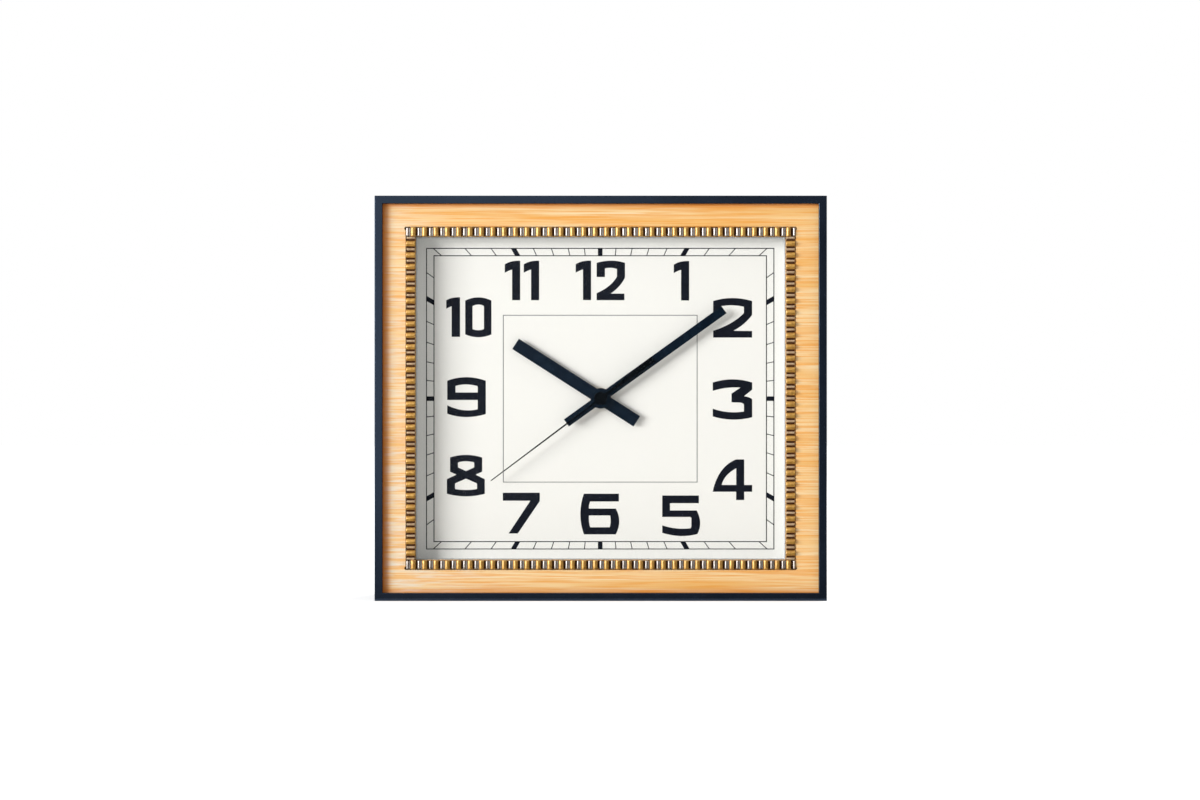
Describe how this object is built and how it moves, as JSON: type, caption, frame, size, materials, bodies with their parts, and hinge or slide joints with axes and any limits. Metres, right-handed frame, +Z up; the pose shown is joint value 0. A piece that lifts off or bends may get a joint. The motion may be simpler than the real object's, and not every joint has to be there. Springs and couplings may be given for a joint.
{
  "type": "wooden table and wall clock",
  "caption": "Rectangular wooden clock with a dark painted case, pale wood face, gilt bead-and-reel opening, glazed numbered dial, three hands and a battery quartz movement.",
  "frame": {"origin": "middle of the underside, halfway through the depth", "axes": "+X to the right of someone facing the dial, +Y from the front to the wall, +Z up"},
  "size_m": [0.226, 0.05, 0.2025],
  "materials": {
    "painted_case": "satin navy-black paint",
    "pine_block": "raw sawn",
    "face_veneer": "satin lacquer over pale veneer",
    "gilt_trim": "gilt with paler reels and dark grooves",
    "clear_glass": "clear polished",
    "white_rail": "white paint",
    "dial_sheet": "matte off-white print",
    "brown_board": "raw hardboard",
    "zinc_screw": "zinc plated",
    "zinc_plate": "zinc plated",
    "black_hand": "satin black paint",
    "bright_brass": "bright",
    "black_rubber": "matte",
    "black_plastic": "moulded",
    "white_gear": "moulded",
    "dark_magnet": "bonded magnet",
    "copper_coil": "enamelled copper wire",
    "green_circuit": "solder mask",
    "battery_jacket": "plain grey jacket"
  },
  "bodies": {
    "case": {"case_top": "painted_case", "case_bottom": "painted_case", "case_left": "painted_case", "case_right": "painted_case", "corner_block_top_left": "pine_block", "corner_block_top_right": "pine_block", "corner_block_bottom_left": "pine_block", "corner_block_bottom_right": "pine_block", "face_panel": "face_veneer", "bead_trim_top": "gilt_trim", "bead_trim_bottom": "gilt_trim", "bead_trim_left": "gilt_trim", "bead_trim_right": "gilt_trim", "front_glass": "clear_glass", "inner_rail_top": "white_rail", "inner_rail_bottom": "white_rail", "inner_rail_left": "white_rail", "inner_rail_right": "white_rail", "dial_face": "dial_sheet", "dial_board": "brown_board", "dial_screw_top_left": "zinc_screw", "dial_screw_top_right": "zinc_screw", "dial_screw_bottom_left": "zinc_screw", "dial_screw_bottom_right": "zinc_screw", "back_panel": "brown_board", "back_screw_top_left": "zinc_screw", "back_screw_top_right": "zinc_screw", "back_screw_bottom_left": "zinc_screw", "back_screw_bottom_right": "zinc_screw", "hanger_plate": "zinc_plate", "hanger_screw_left": "zinc_screw", "hanger_screw_right": "zinc_screw", "dial_washer": "bright_brass", "hex_nut": "bright_brass", "gasket": "black_rubber", "threaded_bush": "bright_brass", "movement_case": "black_plastic", "movement_cover": "black_plastic", "stator": "zinc_plate", "coil": "copper_coil", "circuit_board": "green_circuit", "quartz_crystal": "zinc_plate", "contact_positive": "zinc_plate", "contact_negative": "zinc_plate"},
    "second_hand_and_wheel": {"second_hand": "black_hand", "second_wheel": "white_gear"},
    "third_wheel_body": {"third_wheel": "white_gear"},
    "centre_wheel_body": {"centre_wheel": "bright_brass"},
    "intermediate_wheel_body": {"intermediate_wheel": "white_gear"},
    "rotor_body": {"rotor": "dark_magnet"},
    "minute_hand_and_cannon": {"minute_hand": "black_hand", "cannon_pinion": "bright_brass"},
    "minute_wheel_body": {"minute_wheel": "white_gear"},
    "hour_hand_and_wheel": {"hour_hand": "black_hand", "hour_wheel": "white_gear"},
    "setting_shaft": {"setting_pinion": "white_gear", "setting_knob": "black_plastic"},
    "battery_cell": {"battery": "battery_jacket"}
  },
  "joints": [
    {"name": "second_hand_turn", "type": "hinge", "parent": "case", "child": "second_hand_and_wheel", "pos_m": [0, 0, 0.10125], "axis": [0, 1, 0], "continuous": true},
    {"name": "third_wheel_turn", "type": "hinge", "parent": "case", "child": "third_wheel_body", "pos_m": [-0.00796, 0, 0.10683], "axis": [0, 1, 0], "continuous": true},
    {"name": "centre_wheel_turn", "type": "hinge", "parent": "case", "child": "centre_wheel_body", "pos_m": [0, 0, 0.10125], "axis": [0, 1, 0], "continuous": true},
    {"name": "intermediate_wheel_turn", "type": "hinge", "parent": "case", "child": "intermediate_wheel_body", "pos_m": [0.00405, 0, 0.10826], "axis": [0, 1, 0], "continuous": true},
    {"name": "rotor_turn", "type": "hinge", "parent": "case", "child": "rotor_body", "pos_m": [-0.0025, 0, 0.11204], "axis": [0, 1, 0], "continuous": true},
    {"name": "minute_hand_turn", "type": "hinge", "parent": "case", "child": "minute_hand_and_cannon", "pos_m": [0, 0, 0.10125], "axis": [0, 1, 0], "continuous": true},
    {"name": "minute_wheel_turn", "type": "hinge", "parent": "case", "child": "minute_wheel_body", "pos_m": [0.00945, 0, 0.09958], "axis": [0, 1, 0], "continuous": true},
    {"name": "hour_hand_turn", "type": "hinge", "parent": "case", "child": "hour_hand_and_wheel", "pos_m": [0, 0, 0.10125], "axis": [0, 1, 0], "continuous": true},
    {"name": "setting_knob_turn", "type": "hinge", "parent": "case", "child": "setting_shaft", "pos_m": [0.01568, 0, 0.10581], "axis": [0, 1, 0], "continuous": true},
    {"name": "battery_slide", "type": "slide", "parent": "case", "child": "battery_cell", "axis": [0, 1, 0], "range_m": [0, 0.045]}
  ],
  "couplings": [
    {"joint": "third_wheel_turn", "follows": "second_hand_turn", "ratio": -0.13333},
    {"joint": "centre_wheel_turn", "follows": "second_hand_turn", "ratio": 0.016667},
    {"joint": "intermediate_wheel_turn", "follows": "second_hand_turn", "ratio": -5},
    {"joint": "rotor_turn", "follows": "second_hand_turn", "ratio": 30},
    {"joint": "minute_wheel_turn", "follows": "minute_hand_turn", "ratio": -0.33333},
    {"joint": "hour_hand_turn", "follows": "minute_hand_turn", "ratio": 0.083333},
    {"joint": "setting_knob_turn", "follows": "minute_hand_turn", "ratio": 1.5}
  ]
}
